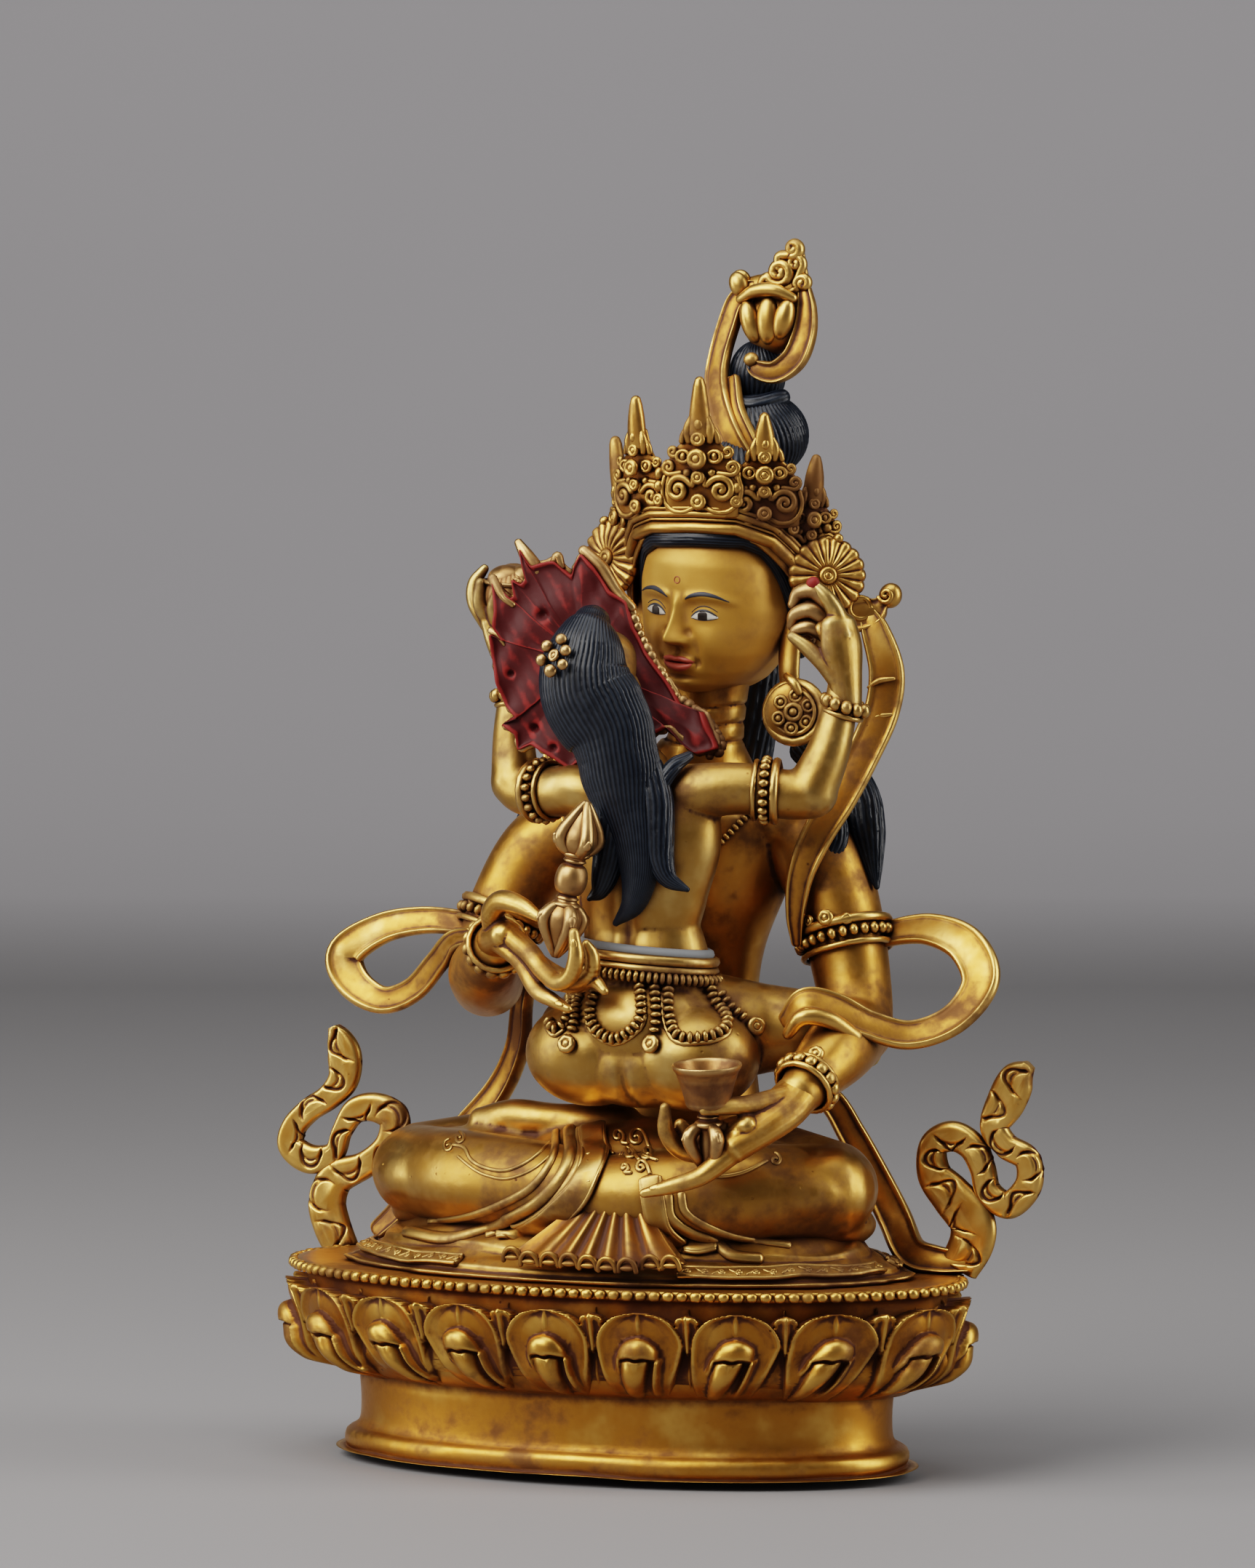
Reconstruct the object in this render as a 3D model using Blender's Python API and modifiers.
"""A gilt copper Vajrasattva with his consort, seated on a lotus pedestal.

Sizes are in metres, +Z is up and the figure faces -Y. The origin is the centre of the pedestal's underside.
The figures' pose is given in parts: FIGURE_HEIGHT, from the seat to the tip of the finial, is FIGURE_PARTS of them.
A pose point's height counts from POSE_FLOOR, so POSE_SEAT is where the robe meets the pedestal.
"""

import math

import bmesh
import bpy
from mathutils import Matrix, Vector

MM = 0.001

# Pedestal
RIM_WIDTH = 128.0 * MM
DEPTH_SHARE = 0.54          # every level is an ellipse this deep for its width
LOTUS_WIDTH = 133.0 * MM
DRUM_WIDTH = 121.0 * MM
NECK_WIDTH = 102.0 * MM
FOOT_WIDTH = 107.0 * MM
FOOT_HEIGHT = 3.8 * MM
NECK_HEIGHT = 11.2 * MM
LOTUS_HEIGHT = 15.3 * MM
DRUM_HEIGHT = 1.9 * MM
RIM_HEIGHT = 1.6 * MM
PLATE_RISE = 0.2 * MM       # the plate is this much higher inside the rim
PETALS = 18
PETAL_WIDTH = 15.6 * MM
PETAL_THICKNESS = 5.2 * MM
PETAL_LEAN = math.radians(16)
WALL_LAP = 0.5 * MM         # the petal ring is this much wider than the wall it is joined to
HOOD_WIDTH = 8.2 * MM
TURN_STEPS = 40

# Figures
FIGURE_HEIGHT = 185.0 * MM
FIGURE_PARTS = 185.0
POSE_SEAT = 34.3
GAP = 0.35 * MM             # what is left between two castings that touch
CLAY_VOXEL = 0.55 * MM
FINE_VOXEL = 0.32 * MM
SMOOTHING = 4
PETAL_FACES = 1250
DEITY_FACES = 3900
CONSORT_FACES = 1950
VAJRA_FACES = 360
BELL_STEPS = 12

RIM_Z = FOOT_HEIGHT + NECK_HEIGHT + LOTUS_HEIGHT + DRUM_HEIGHT
PLATE_Z = RIM_Z + RIM_HEIGHT + PLATE_RISE
SEAT_Z = PLATE_Z + GAP
PART = FIGURE_HEIGHT / FIGURE_PARTS


def clear_scene():
    for obj in list(bpy.data.objects):
        bpy.data.objects.remove(obj, do_unlink=True)


def pose(x, y, z):
    """A pose point in parts, as a place in metres."""
    return Vector((x * PART, y * PART, SEAT_Z + (z - POSE_SEAT) * PART))


def material(name, colour, roughness, metallic):
    made = bpy.data.materials.new(name)
    made.use_nodes = True
    shader = made.node_tree.nodes["Principled BSDF"]
    shader.inputs["Base Color"].default_value = (*colour, 1.0)
    shader.inputs["Roughness"].default_value = roughness
    shader.inputs["Metallic"].default_value = metallic
    return made


def smooth_path(points, radii, steps):
    """Points and radii along a Catmull-Rom curve through the given ones."""
    path = [Vector(p) for p in points]
    ends = [2 * path[0] - path[1]] + path + [2 * path[-1] - path[-2]]
    sizes = [radii[0]] + list(radii) + [radii[-1]]
    out = []
    for i in range(len(path) - 1):
        for k in range(steps):
            t = k / steps
            weights = (
                (-t + 2 * t * t - t ** 3) / 2,
                (2 - 5 * t * t + 3 * t ** 3) / 2,
                (t + 4 * t * t - 3 * t ** 3) / 2,
                (-t * t + t ** 3) / 2,
            )
            place = sum((w * p for w, p in zip(weights, ends[i:i + 4])), Vector())
            radius = sum(w * r for w, r in zip(weights, sizes[i:i + 4]))
            out.append((place, max(radius, 0.15 * MM)))
    out.append((path[-1], radii[-1]))
    return out


def tube(points, radii, flat=1.0, steps=3, sides=3):
    """A closed loft through pose points. Its section is flat times as deep, front to back, as it is wide."""
    samples = smooth_path([pose(*p) for p in points], [r * PART for r in radii], steps)
    corners = 4 * sides
    shape = bmesh.new()
    rings = []
    depth = Vector((0.0, 1.0, 0.0))
    for i, (place, radius) in enumerate(samples):
        before = samples[max(i - 1, 0)][0]
        after = samples[min(i + 1, len(samples) - 1)][0]
        along = (after - before).normalized()
        upright = Vector((0.0, 1.0, 0.0)) - along * along.y
        if upright.length < 0.35:
            upright = depth - along * depth.dot(along)
        depth = upright.normalized()
        across = along.cross(depth)
        ring = []
        for k in range(corners):
            turn = 2 * math.pi * k / corners
            reach = across * math.cos(turn) + depth * (flat * math.sin(turn))
            ring.append(shape.verts.new(place + reach * radius))
        rings.append(ring)
    for ring, following in zip(rings, rings[1:]):
        for k in range(corners):
            j = (k + 1) % corners
            shape.faces.new((ring[k], ring[j], following[j], following[k]))
    shape.faces.new(rings[0][::-1])
    shape.faces.new(rings[-1])
    mesh = bpy.data.meshes.new("tube")
    shape.to_mesh(mesh)
    shape.free()
    return mesh


def ball(centre, radii, turn=(0, 0, 0)):
    """An ellipsoid at a pose point, turned by degrees about X, Y and Z."""
    turned = Matrix.Identity(4)
    for axis, angle in zip("XYZ", turn):
        turned = Matrix.Rotation(math.radians(angle), 4, axis) @ turned
    size = Matrix.Diagonal((*[r * PART for r in radii], 1.0))
    return placed_ball(Matrix.Translation(pose(*centre)) @ turned @ size)


def placed_ball(matrix):
    shape = bmesh.new()
    bmesh.ops.create_uvsphere(shape, u_segments=16, v_segments=10, radius=1.0, matrix=matrix)
    mesh = bpy.data.meshes.new("ball")
    shape.to_mesh(mesh)
    shape.free()
    return mesh


def chain(points, radius, sides=2):
    """A round cord of one radius through pose points."""
    return tube(points, [radius] * len(points), sides=sides)


def plate(edge, thickness_at, middle):
    """A sheet with a pointed edge: outline points with their thickness, joined to a middle point."""
    shape = bmesh.new()
    front, back = [], []
    for point, half in zip(edge, thickness_at):
        place = pose(*point)
        shift = Vector((0.0, half * PART, 0.0))
        front.append(shape.verts.new(place - shift))
        back.append(shape.verts.new(place + shift))
    centre, half = middle
    hub = pose(*centre)
    hub_front = shape.verts.new(hub - Vector((0.0, half * PART, 0.0)))
    hub_back = shape.verts.new(hub + Vector((0.0, half * PART, 0.0)))
    for i in range(len(edge)):
        j = (i + 1) % len(edge)
        shape.faces.new((front[i], front[j], hub_front))
        shape.faces.new((back[j], back[i], hub_back))
        shape.faces.new((front[j], front[i], back[i], back[j]))
    bmesh.ops.recalc_face_normals(shape, faces=shape.faces)
    mesh = bpy.data.meshes.new("plate")
    shape.to_mesh(mesh)
    shape.free()
    return mesh


def evaluated(obj):
    bpy.context.view_layer.update()
    graph = bpy.context.evaluated_depsgraph_get()
    return bpy.data.meshes.new_from_object(obj.evaluated_get(graph))


def joined(meshes):
    shape = bmesh.new()
    for mesh in meshes:
        shape.from_mesh(mesh)
        bpy.data.meshes.remove(mesh)
    bmesh.ops.remove_doubles(shape, verts=shape.verts, dist=0.001 * MM)
    bmesh.ops.recalc_face_normals(shape, faces=shape.faces)
    mesh = bpy.data.meshes.new("clay")
    shape.to_mesh(mesh)
    shape.free()
    return mesh


def helper(mesh):
    obj = bpy.data.objects.new("helper", mesh)
    obj.hide_render = True
    bpy.context.scene.collection.objects.link(obj)
    return obj


def fused(meshes, voxel, faces, smoothing=SMOOTHING):
    """One skin over all the shapes, as clay pressed together, with about that many triangles."""
    clay = helper(joined(meshes))
    remesh = clay.modifiers.new("skin", "REMESH")
    remesh.mode = "VOXEL"
    remesh.voxel_size = voxel
    soft = clay.modifiers.new("soften", "SMOOTH")
    soft.iterations = smoothing
    soft.factor = 0.5
    skin = helper(evaluated(clay))
    fewer = skin.modifiers.new("fewer", "DECIMATE")
    fewer.ratio = min(1.0, faces / (2 * len(skin.data.polygons)))
    fewer.use_collapse_triangulate = True
    result = largest_piece(evaluated(skin))
    bpy.data.objects.remove(clay)
    bpy.data.objects.remove(skin)
    return result


def largest_piece(mesh):
    """The mesh with every loose crumb but its largest body removed."""
    shape = bmesh.new()
    shape.from_mesh(mesh)
    shape.verts.ensure_lookup_table()
    unseen = set(shape.verts)
    bodies = []
    while unseen:
        body = [unseen.pop()]
        for vert in body:
            for edge in vert.link_edges:
                other = edge.other_vert(vert)
                if other in unseen:
                    unseen.discard(other)
                    body.append(other)
        bodies.append(body)
    bodies.sort(key=len)
    crumbs = [vert for body in bodies[:-1] for vert in body]
    bmesh.ops.delete(shape, geom=crumbs, context="VERTS")
    shape.to_mesh(mesh)
    shape.free()
    return mesh


def swollen(mesh, gap):
    """A cutter: the mesh with every corner moved out by the gap."""
    copy = mesh.copy()
    normals = [normal.vector.copy() for normal in copy.vertex_normals]
    for vert, normal in zip(copy.vertices, normals):
        vert.co += normal * gap
    return helper(copy)


def carved(mesh, cutters):
    """The mesh less the cutters."""
    obj = helper(mesh)
    for cutter in cutters:
        cut = obj.modifiers.new("cut", "BOOLEAN")
        cut.operation = "DIFFERENCE"
        cut.solver = "EXACT"
        cut.object = cutter
    result = largest_piece(evaluated(obj))
    bpy.data.objects.remove(obj)
    return result


def node(name, mesh, look, collection):
    obj = bpy.data.objects.new(name, mesh)
    mesh.materials.clear()
    mesh.materials.append(look)
    mesh.shade_smooth()
    mesh.set_sharp_from_angle(angle=math.radians(45))
    collection.objects.link(obj)
    return obj


def turned(profile, steps, depth=1.0):
    """A closed turned solid from (radius, height) points, top to bottom, made depth times as deep as wide."""
    mesh = bpy.data.meshes.new("profile")
    mesh.from_pydata([(r, 0.0, z) for r, z in profile], [(i, i + 1) for i in range(len(profile) - 1)], [])
    obj = helper(mesh)
    screw = obj.modifiers.new("turn", "SCREW")
    screw.steps = steps
    screw.render_steps = steps
    screw.use_merge_vertices = True
    screw.merge_threshold = 0.005 * MM
    screw.use_smooth_shade = True
    result = evaluated(obj)
    result.transform(Matrix.Scale(depth, 4, (0, 1, 0)))
    bpy.data.objects.remove(obj)
    return result


def pedestal_profile():
    """(radius, height) of the pedestal's wall, top to bottom, from the plate to the underside."""
    neck_top = FOOT_HEIGHT + NECK_HEIGHT
    lotus_top = neck_top + LOTUS_HEIGHT
    half_rim, half_drum, half_neck, half_foot = (w / 2 for w in (RIM_WIDTH, DRUM_WIDTH, NECK_WIDTH, FOOT_WIDTH))
    return [
        (0.0, PLATE_Z),
        (half_rim - 2.2 * MM, PLATE_Z - PLATE_RISE),
        (half_rim - 0.8 * MM, RIM_Z + RIM_HEIGHT),
        (half_rim, RIM_Z + RIM_HEIGHT / 2),
        (half_rim - 0.8 * MM, RIM_Z),
        (half_drum + 0.4 * MM, RIM_Z - 0.3 * MM),
        (half_drum, lotus_top - 0.45 * LOTUS_HEIGHT),
        (half_neck + 1.6 * MM, neck_top),
        (half_neck, neck_top - 1.5 * MM),
        (half_neck - 0.4 * MM, neck_top - 0.5 * NECK_HEIGHT),
        (half_neck + 0.6 * MM, FOOT_HEIGHT + 0.6 * MM),
        (half_foot - 1.0 * MM, FOOT_HEIGHT),
        (half_foot, FOOT_HEIGHT - 1.2 * MM),
        (half_foot, 0.9 * MM),
        (half_foot - 0.8 * MM, 0.0),
        (0.0, 0.0),
    ]


def ellipse_stations(half_width, half_depth, count, offset=0.0):
    """Evenly spaced (x, y, angle of the outward normal) round an ellipse, the first at its front."""
    fine = 1440
    lengths = [0.0]
    corners = []
    for k in range(fine + 1):
        angle = -math.pi / 2 + 2 * math.pi * k / fine
        corners.append((half_width * math.cos(angle), half_depth * math.sin(angle)))
        if k:
            lengths.append(lengths[-1] + math.dist(corners[-1], corners[-2]))
    stations = []
    for k in range(count):
        wanted = lengths[-1] * ((k + offset) % count) / count
        i = next(j for j, length in enumerate(lengths) if length >= wanted)
        x, y = corners[i]
        stations.append((x, y, math.atan2(y / half_depth ** 2, x / half_width ** 2)))
    return stations


def petal_frame(station, out, height, lean):
    """The matrix of a petal: X along the wall, Y outwards, Z up, leaning outwards by lean."""
    x, y, angle = station
    outward = Vector((math.cos(angle), math.sin(angle), 0.0))
    place = Vector((x, y, height)) + outward * out
    return Matrix.Translation(place) @ Matrix.Rotation(angle - math.pi / 2, 4, "Z") @ Matrix.Rotation(-lean, 4, "X")


def petal(station):
    """A broad petal leaning outwards, its raised hood and the pad under the hood."""
    low = FOOT_HEIGHT + NECK_HEIGHT
    broad = petal_frame(station, 0.2 * MM, low + 0.51 * LOTUS_HEIGHT, PETAL_LEAN)
    broad = broad @ Matrix.Diagonal((PETAL_WIDTH / 2, PETAL_THICKNESS / 2, 0.52 * LOTUS_HEIGHT, 1))
    hood = petal_frame(station, 1.6 * MM, low + 0.50 * LOTUS_HEIGHT, 0.0)
    hood = hood @ Matrix.Diagonal((HOOD_WIDTH / 2, HOOD_WIDTH / 3.4, HOOD_WIDTH / 3, 1))
    pad = petal_frame(station, 0.4 * MM, low + 0.27 * LOTUS_HEIGHT, 0.0)
    pad = pad @ Matrix.Diagonal((HOOD_WIDTH / 2.7, HOOD_WIDTH / 3.2, 0.24 * LOTUS_HEIGHT, 1))
    return [placed_ball(m) for m in (broad, hood, pad)]


def petal_tip(station):
    """The small pointed petal that shows between two broad ones."""
    high = FOOT_HEIGHT + NECK_HEIGHT + 0.80 * LOTUS_HEIGHT
    tip = petal_frame(station, 0.6 * MM, high, PETAL_LEAN)
    return placed_ball(tip @ Matrix.Diagonal((2.6 * MM, 1.6 * MM, 0.22 * LOTUS_HEIGHT, 1)))


def pedestal():
    """The turned oval body, joined with the ring of petals."""
    half_width = LOTUS_WIDTH / 2 - 4.2 * MM
    half_depth = half_width * DEPTH_SHARE - 0.4 * MM
    band_top = FOOT_HEIGHT + NECK_HEIGHT + 0.95 * LOTUS_HEIGHT
    band_low = FOOT_HEIGHT + NECK_HEIGHT + 0.05 * LOTUS_HEIGHT
    wall = DRUM_WIDTH / 2 + WALL_LAP
    tuck = NECK_WIDTH / 2 + WALL_LAP
    core = [(0.0, band_top), (wall, band_top), (wall, band_top - 0.4 * LOTUS_HEIGHT), (tuck, band_low), (0.0, band_low)]
    shapes = [turned(core, TURN_STEPS, DEPTH_SHARE)]
    for station in ellipse_stations(half_width, half_depth, PETALS):
        shapes += petal(station)
    for station in ellipse_stations(half_width, half_depth, PETALS, 0.5):
        shapes.append(petal_tip(station))
    ring = fused(shapes, CLAY_VOXEL, PETAL_FACES, smoothing=2)
    body = helper(turned(pedestal_profile(), TURN_STEPS, DEPTH_SHARE))
    join = body.modifiers.new("join", "BOOLEAN")
    join.operation = "UNION"
    join.solver = "EXACT"
    join.object = helper(ring)
    return largest_piece(evaluated(body))


def legs_and_robe():
    """The crossed legs under the robe, its spread hem and the pleated fall in front."""
    hem = turned([(0, 14 * PART), (36 * PART, 12 * PART), (43 * PART, 7 * PART), (48 * PART, 3.6 * PART),
                  (53.4 * PART, 1.8 * PART), (54 * PART, 0.8 * PART), (53.4 * PART, 0), (0, 0)], 48, 0.55)
    hem.transform(Matrix.Translation(pose(0, -1, POSE_SEAT)))
    shapes = [
        hem,
        tube([(-8, 13, 50), (-24, 6, 50.5), (-38, -2, 50.6)], [12, 10.5, 8.2], flat=1.1, sides=5),
        tube([(12, 13, 50), (26, 6, 50), (40, -2, 50)], [12, 10.5, 8.2], flat=1.1, sides=5),
        tube([(-39, -4, 50.4), (-24, -14, 50.2), (-6, -20, 50), (8, -21, 49)], [8, 8.4, 7.6, 6.5], sides=5),
        tube([(41, -4, 49.8), (26, -14, 49), (12, -20, 49), (0, -21, 49)], [8, 8.6, 7.8, 6.5], sides=5),
        ball((-24, -6, 50), (21, 13, 8.3)),
        ball((26, -6, 49.5), (21, 13, 8.3)),
        ball((5, -6, 52), (24, 15, 9.5)),
        # the pleated fall between the legs and the two borders beside it
        tube([(7, -19, 58), (7, -24, 50), (6.5, -29, 41), (6, -31, 36)], [6, 8, 12, 16.5], flat=0.16, sides=4),
        tube([(4, -20.5, 61), (3.5, -25.5, 55), (2, -28.6, 48), (-4, -29.6, 42.2), (-14, -28.4, 38.6)],
             [2.0, 2.6, 2.6, 2.6, 1.8], sides=2),
        tube([(12.5, -21, 59), (13, -26.5, 52), (13.5, -29.8, 45), (18, -30.4, 39.6), (27, -28.8, 37.4)],
             [1.8, 2.4, 2.6, 2.4, 1.6], sides=2),
        # his left foot, sole up on the right thigh
        tube([(2, -7, 60), (-10, -7, 60.4), (-19, -6.4, 60.6), (-26, -5, 60.2)], [4, 3.4, 3.8, 2.0], sides=2),
    ]
    return shapes


def deity_trunk():
    """Trunk, neck and head with the pulled-up hair."""
    return [
        tube([(2.5, 14, 48), (3, 14, 58), (4.5, 14.5, 69), (6, 15, 80), (6.5, 15, 91), (7, 14.5, 102),
              (7.5, 14.5, 112), (8, 15, 118), (8.8, 14.5, 123.5)],
             [23, 19, 15, 13, 14, 18, 21, 20, 10], flat=0.66, sides=6),
        ball((-10, 14.5, 114), (9, 8.2, 7.8)),
        ball((25.4, 14.5, 114), (9, 8.2, 7.8)),
        tube([(9, 14, 120), (10.3, 13, 130), (11, 13, 140)], [8.5, 6.3, 6.6], sides=5),
        ball((12.2, 12.5, 153), (13.5, 13.6, 16.4)),
        ball((11.8, 9.5, 143.5), (9.8, 9.8, 7.6)),
        ball((12.4, 15.2, 160.5), (15.4, 14.0, 12.4)),
        tube([(11, 0.4, 150.5), (10.9, -2.2, 146.8)], [1.2, 1.9], sides=2),
        # hair falling behind the shoulders
        tube([(9, 27, 158), (8, 28, 140), (7, 27.5, 122), (6, 26, 108)], [8, 10, 9, 4], flat=0.45, sides=4),
        tube([(28, 19, 126), (36, 17.4, 118.5), (40, 15, 110), (41, 12.4, 102)], [3, 4.4, 4.0, 1.3], flat=0.7),
        tube([(-12, 19, 126), (-19.5, 18, 118.5), (-24, 15, 110), (-25, 12, 103)], [3, 4.2, 3.6, 1.3], flat=0.7),
    ]


def earrings_and_chignon():
    return [
        tube([(26, 12.5, 152), (26, 11.5, 145), (27.4, 9.5, 138)], [2.4, 2.2, 1.8]),
        tube([(-2, 12.5, 152), (-2.3, 11.5, 145), (-4, 9.5, 138)], [2.4, 2.2, 1.8]),
        ball((28.4, 8.6, 133.6), (6.2, 1.9, 6.2), (0, 0, 12)),
        ball((-5.4, 8.6, 133.6), (6.2, 1.9, 6.2), (0, 0, -12)),
        ball((15, 17, 175), (10.5, 10.5, 8.5)),
        ball((17.4, 19, 183.4), (10.0, 9.0, 8.0)),
        ball((17, 21, 193.5), (5.4, 5, 6.5)),
        tube([(13.4, 12.5, 174), (10.2, 15, 181), (8.8, 18.5, 188.4), (10.8, 20.4, 195), (12.4, 21, 201), (12.2, 21, 206.6)],
             [2.2, 2.6, 2.5, 2.3, 2.0, 1.4], flat=0.7),
        # finial: crescent, jewel and the flame of scrolls above it
        tube([(14.5, 19, 197), (18.6, 18.4, 195.2), (24, 19, 197), (27.2, 20, 203), (25.6, 21, 209)],
             [1.6, 2.0, 2.2, 2.0, 1.6], flat=0.8),
        ball((18.4, 20.5, 203), (5.8, 4.2, 6.4)),
        ball((17.4, 21.5, 208), (7.8, 3.2, 4.4)),
        tube([(20.2, 22, 208), (22.2, 22.6, 213.2), (22.8, 23, 217.6)], [5.0, 3.8, 1.8], flat=0.55),
    ]


CROWN_CENTRE = (12.4, 13.5)
CROWN_RADII = (17.4, 14.4)


def round_head(angle, out, z):
    """A pose point on the crown: angle in degrees from the front, towards his left, and out from the band."""
    turn = math.radians(angle)
    lean = 0.07 * (z - 168)
    across = (CROWN_RADII[0] + out) * math.sin(turn) + lean
    return (CROWN_CENTRE[0] + across, CROWN_CENTRE[1] - (CROWN_RADII[1] + out) * math.cos(turn), z)


def crown():
    """The five-leaved crown: its band, the leaves with their spikes, and the ear fans with their ribbons."""
    band_heights = ((-105, 150), (-80, 158), (-55, 164.5), (-28, 167.8), (0, 168.4),
                    (28, 167.8), (55, 164.5), (80, 158), (105, 150))
    shapes = [chain([round_head(a, -0.6, z) for a, z in band_heights], 1.9)]
    for angle, foot, tip, half in ((0, 171.5, 192.5, 6.4), (-37, 170, 188.5, 5.8), (37, 170, 187.5, 5.8),
                                   (-74, 166.5, 182.5, 5.2), (74, 166.5, 181.5, 5.2)):
        wide = round_head(angle, 0.6, foot)
        neck = round_head(angle, 0.8, foot + 0.42 * (tip - foot))
        shapes.append(ball(wide, (half, 2.4, 6.4), (0, 0, angle)))
        shapes.append(ball(neck, (0.62 * half, 2.0, 5.4), (0, 0, angle)))
        shapes.append(tube([neck, round_head(angle, 1.6, tip)], [2.6, 1.3]))
    for side in (-1, 1):
        shapes.append(ball(round_head(side * 88, 5.4, 160.5), (6.0, 2.2, 8.4), (0, side * 30, side * 24)))
        knot = [round_head(side * 92, 6, 152.5), round_head(side * 92, 11, 151.5), round_head(side * 92, 15.6, 154.8)]
        shapes.append(tube(knot, [3.0, 2.4, 2.0]))
    return shapes


def ribbons():
    """The shoulder scarf, its loops beside the elbows, and the tails that rise as flames from the pedestal."""
    shapes = [
        tube([(38, 14, 151), (43.4, 13.4, 146), (45.6, 12.6, 138), (44.2, 11.6, 130), (39.8, 8.6, 120.4),
              (35.6, 5.4, 113.6), (31.6, 3.8, 106), (30.4, 3.6, 97)],
             [2.4, 3.2, 3.2, 3.0, 3.0, 2.8, 2.4, 1.6], flat=0.6),
        tube([(-12, 14, 151), (-18, 14, 146), (-21, 14, 138), (-20.5, 13, 130), (-18, 11, 121), (-13.5, 7.5, 114),
              (-11, 5, 106), (-10.5, 5, 97)],
             [2.2, 2.8, 2.8, 2.6, 2.6, 2.6, 2.2, 1.4], flat=0.6),
        # loops beside the elbows
        tube([(-30, 9, 93.4), (-41, 9, 93.8), (-52, 8.6, 92.4), (-58.6, 8, 88), (-55, 6.5, 82.6), (-47, 4.5, 81.4),
              (-40, 2, 85), (-34, -1.5, 91), (-27, -5.5, 93.5)],
             [2.2, 2.6, 3.2, 3.9, 3.0, 2.6, 2.4, 2.2, 1.8], flat=0.42),
        tube([(41, 13, 93), (51, 12, 95), (60.5, 10, 93.8), (65.6, 7, 87.6), (61.5, 3, 80), (53, -1.5, 77.4),
              (45.5, -6.5, 80.6), (40, -10.5, 84), (34.5, -10, 80)],
             [2.2, 2.6, 3.4, 3.6, 3.0, 2.8, 2.6, 2.6, 2.0], flat=0.45),
        # tails behind the hips, down to the pedestal
        tube([(-22, 13, 88), (-27, 16, 76), (-29, 18, 67), (-36, 20, 60), (-45, 21, 52), (-55, 17, 42), (-62.5, 11, 36.6)],
             [2.0, 2.4, 2.6, 2.8, 3.0, 3.2, 3.4], flat=0.6),
        tube([(24, 17, 62), (31, 17, 65.6), (36, 18, 59), (41, 19, 50), (46, 17, 41), (50, 11, 36.8), (56, 12, 37)],
             [2.4, 2.4, 2.8, 3.0, 3.4, 3.0, 3.0], flat=0.6),
    ]
    # each flame: a stem with one coil to the outside, one to the inside, and a pointed tip
    for flame in (
        [
            ([(-59, 12.5, 37), (-64.5, 12.5, 42), (-65.5, 12.5, 48), (-60, 12.5, 55.5)], [3.4, 3.6, 3.6, 3.2]),
            ([(-60, 12.5, 54), (-66, 12.5, 50), (-71.6, 12.5, 52.4), (-71.4, 12.5, 58.6), (-65.5, 12.5, 62),
              (-61, 12.5, 67), (-62.6, 12.5, 73.6)], [2.8, 2.8, 2.8, 2.8, 2.8, 2.4, 1.1]),
            ([(-61, 12.5, 53), (-62.5, 12.5, 60), (-57.5, 12.5, 62.8), (-53, 12.5, 58.6), (-55, 12.5, 53.4)],
             [2.6, 2.8, 3.4, 3.2, 2.2]),
        ],
        [
            ([(55, 12.5, 37.4), (60.5, 12.5, 41), (62.5, 12.5, 46.5), (56, 12.5, 53)], [3.6, 3.6, 3.6, 3.4]),
            ([(56, 12.5, 52), (52.6, 12.5, 57.4), (56, 12.5, 62.4), (61.6, 12.5, 60.4), (64, 12.5, 54.6),
              (68.8, 12.5, 51)], [3.2, 3.0, 3.0, 3.0, 3.0, 2.6]),
            ([(66, 12.5, 51), (72.6, 12.5, 53.4), (71.6, 12.5, 59.4), (65.6, 12.5, 61.4), (64.4, 12.5, 66.4),
              (68.6, 12.5, 70.6), (70.6, 12.5, 73)], [2.6, 2.8, 2.8, 2.8, 2.8, 2.2, 1.1]),
        ],
    ):
        shapes += [tube(points, radii, flat=0.5) for points, radii in flame]
    return shapes


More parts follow.
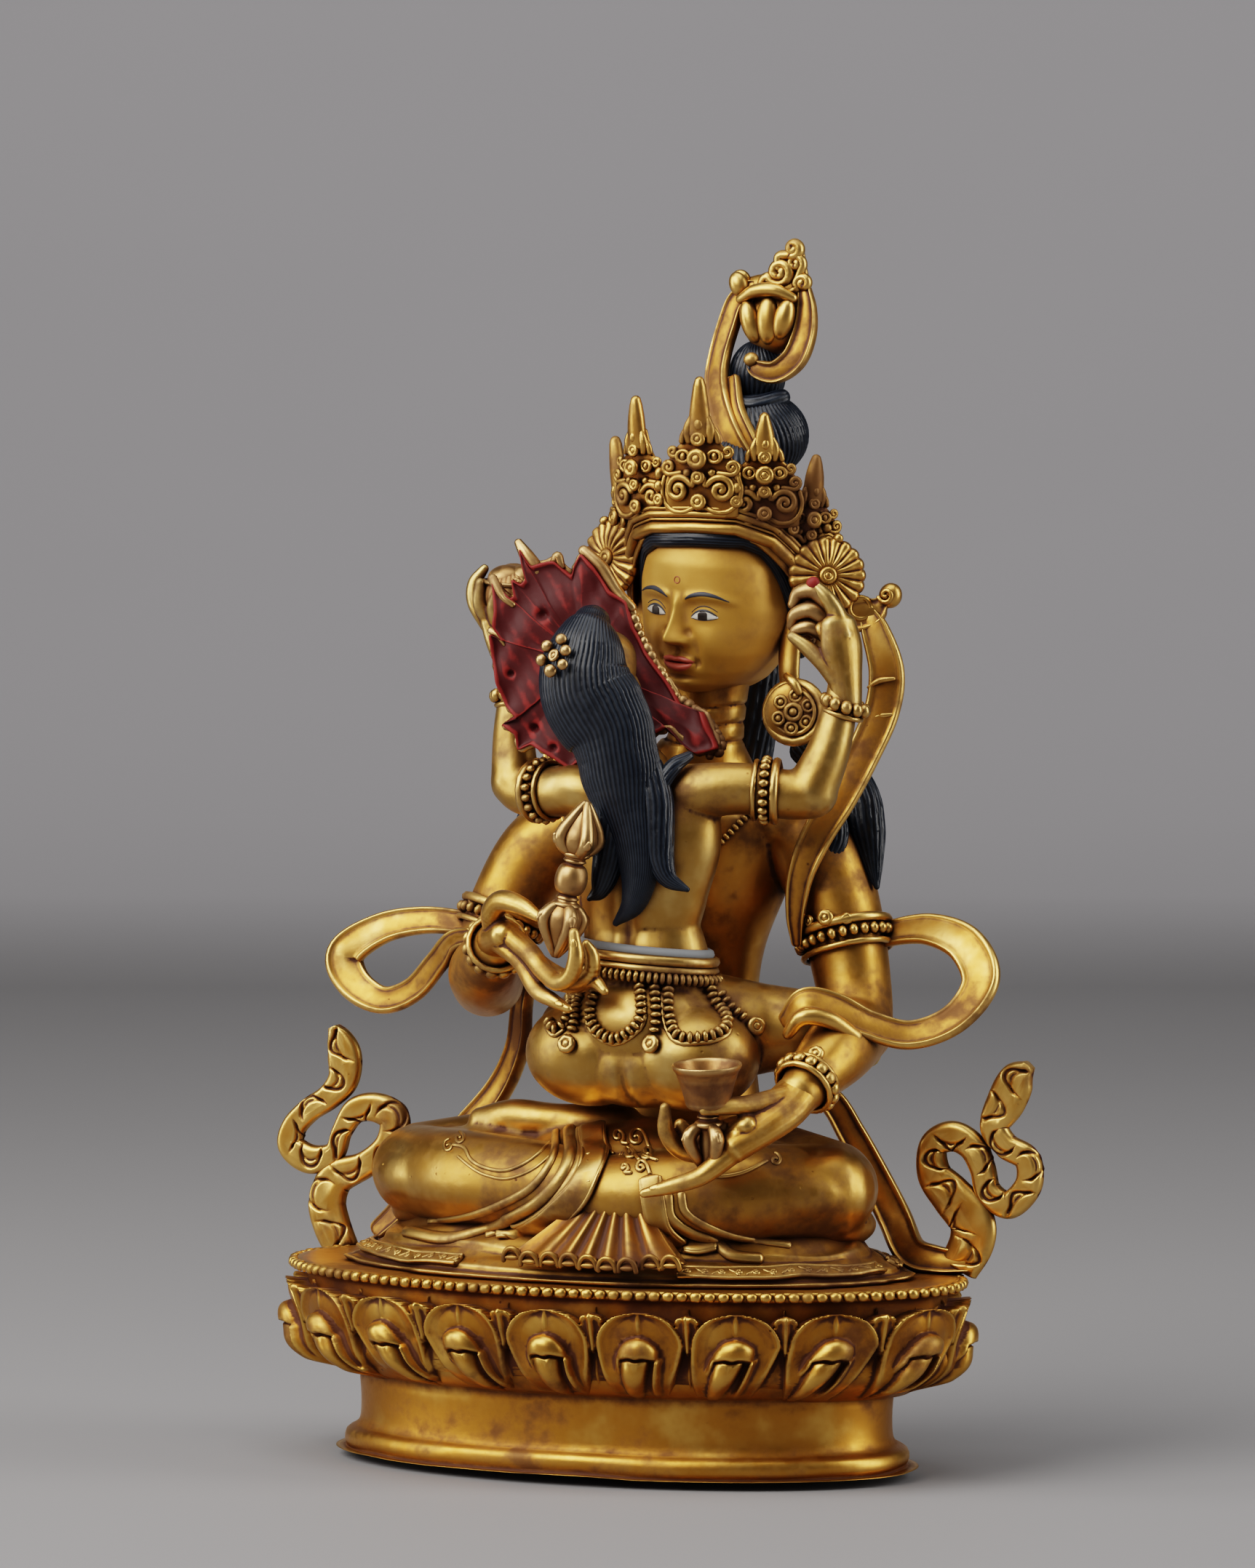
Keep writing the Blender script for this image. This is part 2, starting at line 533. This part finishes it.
def deity_arms():
    """Both arms, crossed behind the consort, with the fingers that hold the vajra and the bell."""
    return [
        tube([(26.6, 14.5, 113), (32.4, 14, 106), (36.8, 12.5, 96), (40.4, 10, 84), (42, 6.5, 78)],
             [7.6, 8.2, 7.4, 6.6, 6.5], sides=5),
        tube([(42, 7, 78), (42.8, -4, 75), (42, -15, 72), (40.6, -20.5, 69.6)], [6.6, 6.2, 5.0, 4.0], sides=5),
        tube([(-13, 14.5, 115), (-21.8, 13.5, 109), (-27.2, 11, 99), (-29.2, 7.5, 89), (-29, 4.5, 84)],
             [7.6, 7.8, 6.9, 6.4, 6.3], sides=5),
        tube([(-29, 5, 84), (-27, -3, 86.4), (-23.4, -11, 89), (-20.5, -16, 91.6)], [6.4, 6.2, 5.2, 4.0], sides=5),
        chain([(37.4, 12.6, 94.4), (38, 12.2, 92.4)], 8.2, sides=5),
        chain([(-26.8, 10.8, 98.2), (-27.4, 10.2, 96.4)], 7.9, sides=5),
        chain([(41.9, -14.6, 72.2), (41.6, -16.6, 71.4)], 6.2, sides=5),
        chain([(-22.8, -12.4, 89.5), (-21.8, -14, 90.4)], 6.1, sides=5),
        # left hand, palm and fingers about the bell's handle
        tube([(40.4, -20.5, 69.4), (37, -25, 66.6), (33.6, -28, 62.6)], [4.0, 4.4, 3.6]),
        tube([(38, -25, 68), (33.6, -28.6, 68.4), (29.6, -31.6, 67.2), (27.4, -34.6, 66.4)], [2.3, 1.9, 1.6, 1.2]),
        tube([(34.6, -28.5, 61.5), (31.6, -31, 58.6), (28.4, -32.4, 54.4), (22.6, -33, 52.6), (17.6, -33, 51.4)],
             [2.6, 2.0, 1.7, 1.5, 1.0]),
        tube([(33.2, -27.6, 62.4), (27.6, -27.4, 58.6), (21.8, -29.2, 59), (20.6, -31.6, 63.4), (22.4, -32.6, 67)],
             [2.2, 1.8, 1.6, 1.4, 1.0]),
        # right hand, about the vajra's shaft
        tube([(-20.4, -16, 91.8), (-18, -19.5, 94.6), (-15.6, -22, 97.2)], [4.0, 3.6, 2.8]),
        tube([(-17, -21, 96), (-15, -24, 100.4), (-10.5, -26.4, 100.4), (-5.6, -27, 98.6)], [2.4, 1.9, 1.6, 1.1]),
        tube([(-15.6, -20.4, 95.6), (-11, -21.4, 98.2), (-6.4, -22.6, 98)], [2.2, 1.8, 1.2]),
        tube([(-16.6, -21.6, 95.4), (-12.8, -25.6, 92), (-8.6, -27.4, 87.4), (-3.6, -27.8, 83.8), (0.6, -28, 82)],
             [2.2, 1.8, 1.6, 1.4, 0.9]),
        tube([(-14, -22, 92.6), (-8.4, -22.6, 87.6), (-3.6, -25.6, 85.8), (0.2, -28.2, 89.2), (0.8, -28.6, 95)],
             [2.0, 1.8, 1.7, 1.5, 1.0]),
    ]


def deity():
    shapes = legs_and_robe() + deity_trunk() + earrings_and_chignon() + crown() + ribbons() + deity_arms()
    return fused(shapes, CLAY_VOXEL, DEITY_FACES)


def consort_body():
    """Her trunk, hips and the legs round his waist."""
    return [
        ball((-0.8, -12.5, 73.6), (12.2, 10.6, 9.6)),
        ball((18.4, -12.5, 73.4), (12.2, 10.6, 9.6)),
        ball((9, -9, 79), (16.5, 9.6, 10)),
        tube([(9.2, -9, 78), (8.4, -10, 86), (7.6, -10.4, 94), (8.2, -10.8, 102), (8.6, -11, 111), (8.2, -11, 118),
              (6.6, -11, 123.5)],
             [15, 13.0, 10.8, 12, 14.2, 13.6, 6.5], flat=0.62, sides=5),
        tube([(8.6, -9.4, 87.6), (8.4, -9.6, 90.4)], [14.6, 14.2], flat=0.72, sides=5),
        tube([(17, -8, 76), (24, -3, 76.6), (29.4, 5, 76), (28.6, 17, 73.4), (21, 26.4, 71)],
             [9, 7.4, 5.8, 4.8, 3.6], sides=4),
        tube([(2, -8, 76), (-6, -3, 76.6), (-12.6, 5, 76), (-12.6, 17, 73.4), (-6, 26.8, 71)],
             [9, 7.0, 5.4, 4.8, 3.6], sides=4),
        tube([(21, 26.4, 71), (10, 30.6, 69.8), (-4, 30.4, 69.4)], [3.6, 3.2, 2.6]),
        tube([(-6, 26.8, 71), (8, 34.6, 72.4), (24, 31, 72), (36.5, 24.6, 71.6)], [3.6, 3.2, 3.0, 2.4]),
    ]


def consort_arms():
    """Arms raised over his shoulders: skull cup in the right hand, chopper's grip in the left."""
    return [
        tube([(12, -11, 119), (19, -12, 120.4), (27, -10.4, 121), (35, -8, 120), (38.6, -6.6, 120.4)],
             [5.6, 5.0, 4.6, 4.4, 4.6], sides=4),
        tube([(38.4, -6.8, 120.4), (41.4, -5.4, 128), (43, -4, 136), (43.4, -3.4, 140.4)], [4.6, 3.7, 3.0, 2.5], sides=4),
        tube([(4, -11, 119), (-4, -12, 120), (-10, -10.4, 119.6), (-15.6, -8.4, 119.4), (-18, -7.4, 121)],
             [5.6, 4.8, 4.5, 4.3, 4.4], sides=4),
        tube([(-18, -7.4, 121), (-19, -6, 129), (-19.2, -5, 137), (-20.4, -4.4, 143)], [4.3, 3.7, 3.0, 2.5], sides=4),
        chain([(31.6, -9, 120.6), (33.2, -8.6, 120.4)], 5.9, sides=4),
        chain([(-11.6, -9.8, 119.6), (-13.2, -9.2, 119.5)], 5.6, sides=4),
        # left hand
        tube([(43.2, -3.4, 138), (43, -3.4, 143), (41.6, -3.6, 147.4)], [2.6, 3.9, 3.0], flat=0.7),
        tube([(41.6, -3.6, 146), (40, -4.4, 151), (37.8, -4.8, 155), (36.8, -4.6, 158)], [1.9, 1.6, 1.4, 1.0]),
        tube([(42.2, -4, 141), (39, -5.4, 144), (35.4, -6, 147.6)], [2.0, 1.6, 1.0]),
        ball((35.8, -4, 151), (2.8, 2.6, 4.4)),
        # right hand with the skull cup
        tube([(-20.4, -4.4, 142), (-21.8, -4.4, 147), (-22.8, -4, 151)], [2.6, 3.4, 2.8], flat=0.7),
        tube([(-23, -5, 149), (-25.6, -5.6, 153), (-26, -5, 158)], [1.8, 1.5, 1.0]),
        ball((-19.8, -2.4, 155.6), (6.2, 6.0, 5.4)),
    ]


def consort_head():
    """Her head thrown back, the hair down her back in three locks, and the crown seen from behind."""
    rim = [
        (-14.6, -12, 126.4), (-19.4, -13, 133), (-18, -13.5, 138), (-19.6, -13.5, 145), (-22.6, -12, 158.8),
        (-18.6, -11.4, 156.8), (-15.6, -9, 164.4), (-11.4, -8.6, 157.4), (-6.8, -7, 162.4), (-1, -6, 157.4),
        (5.2, -5.4, 149), (11.4, -5.4, 140.2), (18.6, -6, 131.2), (20.4, -7, 126.6), (13, -8, 126.2), (6, -9, 130),
        (-6, -10, 130),
    ]
    return [
        tube([(6.4, -11, 121), (3.6, -10, 129), (1.4, -8.6, 137)], [5.6, 5.2, 6.0], sides=4),
        ball((0.6, -9.4, 140.6), (8.8, 9.4, 10)),
        ball((1.4, -1.6, 143.6), (6.6, 5.6, 7.4)),
        tube([(0.8, -15, 146), (0.6, -17.4, 141), (1.8, -18.4, 134.6), (4.6, -18.4, 127.4), (6.6, -18.6, 120),
              (6.8, -18.8, 113), (6.2, -19.4, 106), (7.6, -19.6, 97.6)],
             [6.6, 9.6, 9.8, 7.6, 6.6, 6.4, 4.4, 1.3], flat=0.62, sides=5),
        tube([(3.4, -18.6, 116), (1.4, -19.6, 108), (2.6, -20, 103.8), (-0.8, -20, 101.6)], [3, 2.8, 2.3, 1.1], flat=0.8),
        tube([(11.6, -18.4, 122), (11.6, -19.4, 113), (13, -19.6, 106.6), (19, -19.4, 103.6)],
             [3, 2.8, 2.6, 1.1], flat=0.8),
        ball((-2.6, -23.2, 144.6), (3.4, 2.2, 3.4)),
        plate(rim, [0.9] * len(rim), ((-2, -8.6, 142), 2.2)),
    ]


def consort():
    return fused(consort_body() + consort_arms() + consort_head(), CLAY_VOXEL, CONSORT_FACES)


VAJRA_LOW = (-2.4, -25.4, 91.5)
VAJRA_HIGH = (3.6, -25.4, 119.0)


def vajra():
    """A shaft with a ball at its middle and four prongs that close over each end."""
    low, high = Vector(VAJRA_LOW), Vector(VAJRA_HIGH)
    axis = (high - low).normalized()
    side = axis.cross(Vector((0, 1, 0))).normalized()
    front = axis.cross(side)
    length = (high - low).length
    shapes = [
        tube([low, (low + high) / 2, high], [1.0, 1.5, 1.0]),
        ball((low + high) / 2, (2.7, 2.7, 2.4)),
    ]
    for end in (-1, 1):
        centre = (low + high) / 2
        for k in range(4):
            turn = math.radians(45 + 90 * k)
            out = side * math.cos(turn) + front * math.sin(turn)
            shares = ((0.16, 1.4), (0.27, 4.0), (0.37, 3.2), (0.47, 0.8))
            points = [centre + axis * (end * share * length) + out * reach for share, reach in shares]
            shapes.append(tube(points, [1.2, 1.4, 1.2, 0.9]))
        shapes.append(tube([centre + axis * (end * s * length) for s in (0.12, 0.16)], [2.5, 2.3]))
    return fused(shapes, FINE_VOXEL, VAJRA_FACES, smoothing=2)


BELL_MOUTH = (28.6, -29.4, 75.2)
BELL_TIP = (26.4, -32.2, 54.6)


def bell():
    """A bell held mouth up: its hollow cup, the grip, and the closed half vajra that ends it."""
    mouth, tip = pose(*BELL_MOUTH), pose(*BELL_TIP)
    axis = (mouth - tip).normalized()
    length = (mouth - tip).length
    profile = [
        (0.0, 0.60), (2.4, 0.64), (3.3, 0.76), (4.7, 0.985), (5.8, 1.0), (4.9, 0.84), (4.1, 0.62), (3.2, 0.52),
        (1.5, 0.49), (1.5, 0.44), (2.5, 0.41), (2.5, 0.38), (3.4, 0.27), (2.6, 0.14), (1.6, 0.06), (0.0, 0.0),
    ]
    mesh = turned([(r * PART, share * length) for r, share in profile], BELL_STEPS)
    lean = Vector((0, 0, 1)).rotation_difference(axis).to_matrix().to_4x4()
    mesh.transform(Matrix.Translation(tip) @ lean)
    return mesh


def main():
    clear_scene()
    statue = bpy.data.collections.new("vajrasattva_statue")
    bpy.context.scene.collection.children.link(statue)
    gilding = material("gilded_copper", (0.72, 0.47, 0.16), 0.34, 1.0)
    bright = material("bright_gilding", (0.78, 0.56, 0.24), 0.30, 1.0)
    vajra_mesh = vajra()
    bell_mesh = bell()
    held = [swollen(vajra_mesh, GAP), swollen(bell_mesh, GAP)]
    consort_mesh = carved(consort(), held)
    deity_mesh = carved(deity(), held + [swollen(consort_mesh, GAP)])
    pedestal_mesh = pedestal()
    for obj in [o for o in bpy.data.objects if o.hide_render]:
        bpy.data.objects.remove(obj)
    node("lotus_pedestal", pedestal_mesh, gilding, statue)
    node("vajrasattva", deity_mesh, gilding, statue)
    node("consort", consort_mesh, bright, statue)
    node("vajra", vajra_mesh, bright, statue)
    node("bell", bell_mesh, bright, statue)


main()
